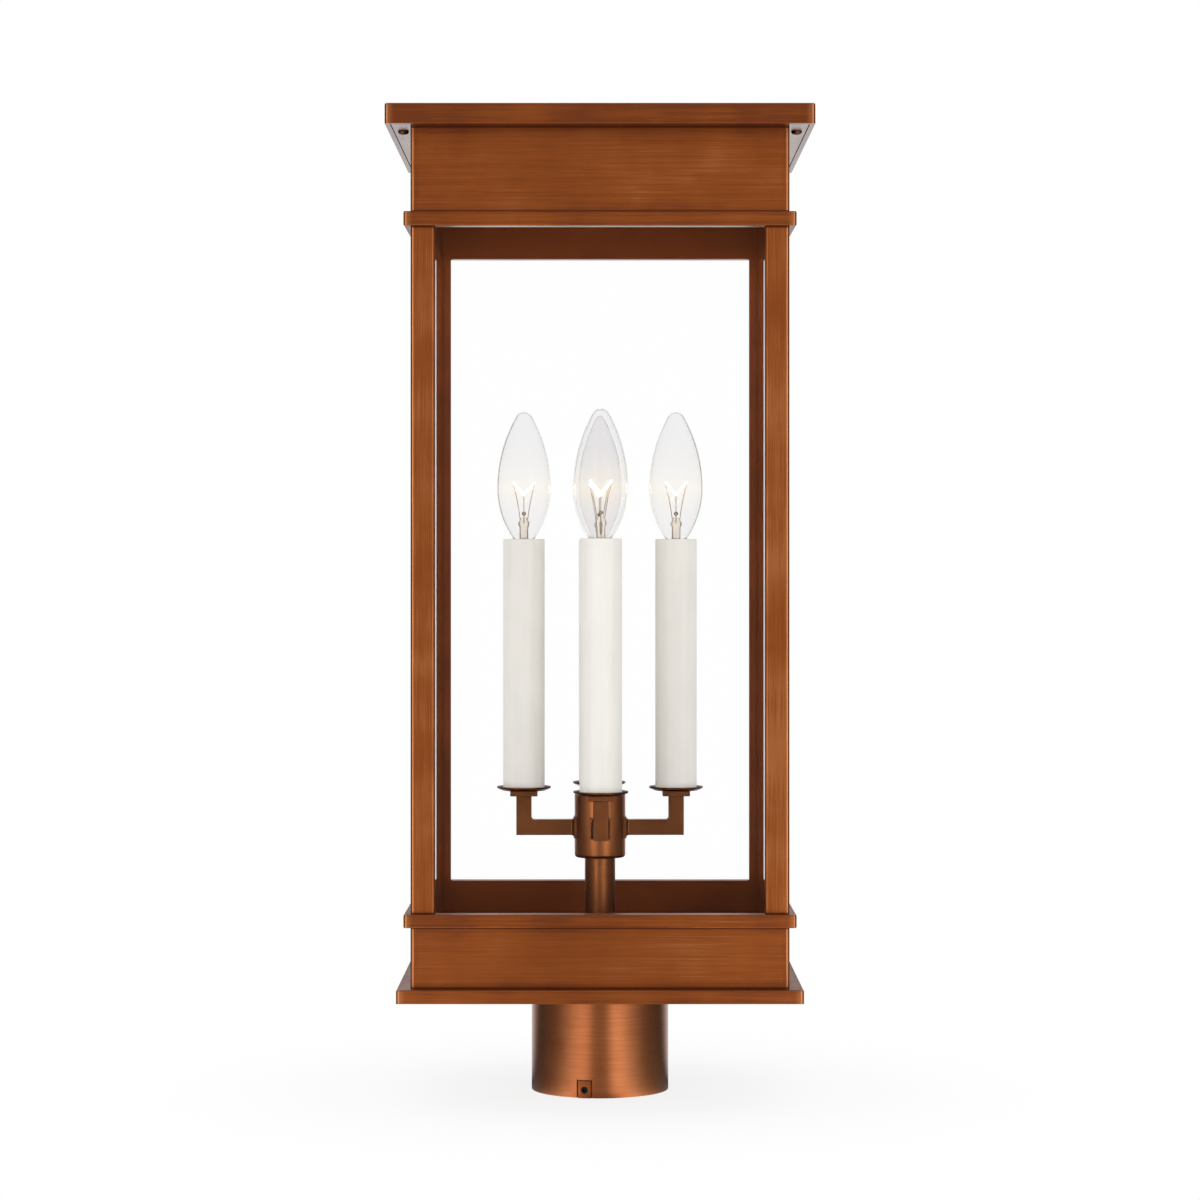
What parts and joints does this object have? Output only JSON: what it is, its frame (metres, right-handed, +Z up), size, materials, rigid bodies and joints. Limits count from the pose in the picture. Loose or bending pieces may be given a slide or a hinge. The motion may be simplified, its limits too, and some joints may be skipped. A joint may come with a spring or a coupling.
{
  "type": "post lantern",
  "caption": "Square copper post lantern with glazed sides, a lift-off roof, a candle cluster with screw-in lamps and a round post fitter with set screws.",
  "frame": {"origin": "on the post's axis at the foot of the fitter, the lantern's lowest point", "axes": "+Z up along the post, -Y the front that faces the viewer, +X to the viewer's right"},
  "size_m": [0.254, 0.254, 0.5999],
  "materials": {
    "copper_sheet": "brushed natural copper sheet, aged",
    "copper_bar": "brushed natural copper bar, aged",
    "copper_post": "brushed natural copper, grain upright",
    "dark_copper": "darkened copper, satin",
    "roof_fastener": "darkened copper-plated screw",
    "black_steel": "black oxide steel",
    "zinc_steel": "zinc-plated steel",
    "pane_glass": "clear float glass",
    "socket_black": "moulded phenolic",
    "candle_white": "satin off-white",
    "lamp_brass": "thin rolled brass",
    "bulb_glass": "clear blown glass",
    "filament_wire": "drawn wire on a glass stem, filament lit"
  },
  "bodies": {
    "body": {"soffit_plate": "copper_sheet", "frieze": "copper_sheet", "plinth": "copper_sheet", "window_case": "copper_sheet", "base_pan": "copper_sheet", "fitter": "copper_sheet", "set_screw_blocks": "copper_sheet", "upper_band": "copper_bar", "lower_band": "copper_bar", "post_front_left": "copper_post", "post_front_right": "copper_post", "post_rear_right": "copper_post", "post_rear_left": "copper_post", "stem": "dark_copper", "hub": "dark_copper", "hub_cap": "dark_copper", "collars": "dark_copper", "arm_front": "dark_copper", "arm_right": "dark_copper", "arm_rear": "dark_copper", "arm_left": "dark_copper", "drip_pan_front": "dark_copper", "drip_pan_right": "dark_copper", "drip_pan_rear": "dark_copper", "drip_pan_left": "dark_copper", "roof_screws": "roof_fastener", "stem_nipple": "zinc_steel", "stem_washer": "zinc_steel", "stem_nut": "zinc_steel", "nipples": "zinc_steel", "pan_nuts": "zinc_steel", "pane_front": "pane_glass", "pane_right": "pane_glass", "pane_rear": "pane_glass", "pane_left": "pane_glass", "socket_front": "socket_black", "socket_right": "socket_black", "socket_rear": "socket_black", "socket_left": "socket_black", "candle_sleeve_front": "candle_white", "candle_sleeve_right": "candle_white", "candle_sleeve_rear": "candle_white", "candle_sleeve_left": "candle_white"},
    "roof": {"roof_cap": "copper_sheet", "roof_standoffs": "roof_fastener"},
    "set_screw_1": {"set_screw_1": "black_steel"},
    "set_screw_2": {"set_screw_2": "black_steel"},
    "set_screw_3": {"set_screw_3": "black_steel"},
    "lamp_base_front": {"lamp_shell_front": "lamp_brass"},
    "lamp_front": {"lamp_glass_front": "bulb_glass", "lamp_mount_front": "filament_wire"},
    "lamp_base_right": {"lamp_shell_right": "lamp_brass"},
    "lamp_right": {"lamp_glass_right": "bulb_glass", "lamp_mount_right": "filament_wire"},
    "lamp_base_rear": {"lamp_shell_rear": "lamp_brass"},
    "lamp_rear": {"lamp_glass_rear": "bulb_glass", "lamp_mount_rear": "filament_wire"},
    "lamp_base_left": {"lamp_shell_left": "lamp_brass"},
    "lamp_left": {"lamp_glass_left": "bulb_glass", "lamp_mount_left": "filament_wire"}
  },
  "joints": [
    {"name": "roof_lift", "type": "slide", "parent": "body", "child": "roof", "axis": [0, 0, 1], "range_m": [0, 0.15]},
    {"name": "set_screw_1_drive", "type": "slide", "parent": "body", "child": "set_screw_1", "axis": [0.225, 0.9744, 0], "range_m": [0, 0.002]},
    {"name": "set_screw_2_drive", "type": "slide", "parent": "body", "child": "set_screw_2", "axis": [-0.9563, -0.2924, 0], "range_m": [0, 0.002]},
    {"name": "set_screw_3_drive", "type": "slide", "parent": "body", "child": "set_screw_3", "axis": [0.7314, -0.682, 0], "range_m": [0, 0.002]},
    {"name": "lamp_front_rise", "type": "slide", "parent": "body", "child": "lamp_base_front", "axis": [0, 0, 1], "range_m": [0, 0.00889]},
    {"name": "lamp_front_turn", "type": "hinge", "parent": "lamp_base_front", "child": "lamp_front", "pos_m": [0.0005, -0.0476, 0.34], "axis": [0, 0, 1], "range_deg": [0, 1260]},
    {"name": "lamp_right_rise", "type": "slide", "parent": "body", "child": "lamp_base_right", "axis": [0, 0, 1], "range_m": [0, 0.00889]},
    {"name": "lamp_right_turn", "type": "hinge", "parent": "lamp_base_right", "child": "lamp_right", "pos_m": [0.0476, 0.0005, 0.34], "axis": [0, 0, 1], "range_deg": [0, 1260]},
    {"name": "lamp_rear_rise", "type": "slide", "parent": "body", "child": "lamp_base_rear", "axis": [0, 0, 1], "range_m": [0, 0.00889]},
    {"name": "lamp_rear_turn", "type": "hinge", "parent": "lamp_base_rear", "child": "lamp_rear", "pos_m": [-0.0005, 0.0476, 0.34], "axis": [0, 0, 1], "range_deg": [0, 1260]},
    {"name": "lamp_left_rise", "type": "slide", "parent": "body", "child": "lamp_base_left", "axis": [0, 0, 1], "range_m": [0, 0.00889]},
    {"name": "lamp_left_turn", "type": "hinge", "parent": "lamp_base_left", "child": "lamp_left", "pos_m": [-0.0476, -0.0005, 0.34], "axis": [0, 0, 1], "range_deg": [0, 1260]}
  ],
  "couplings": [
    {"joint": "lamp_front_rise", "follows": "lamp_front_turn", "m_per_rad": 0.00040425},
    {"joint": "lamp_right_rise", "follows": "lamp_right_turn", "m_per_rad": 0.00040425},
    {"joint": "lamp_rear_rise", "follows": "lamp_rear_turn", "m_per_rad": 0.00040425},
    {"joint": "lamp_left_rise", "follows": "lamp_left_turn", "m_per_rad": 0.00040425}
  ]
}
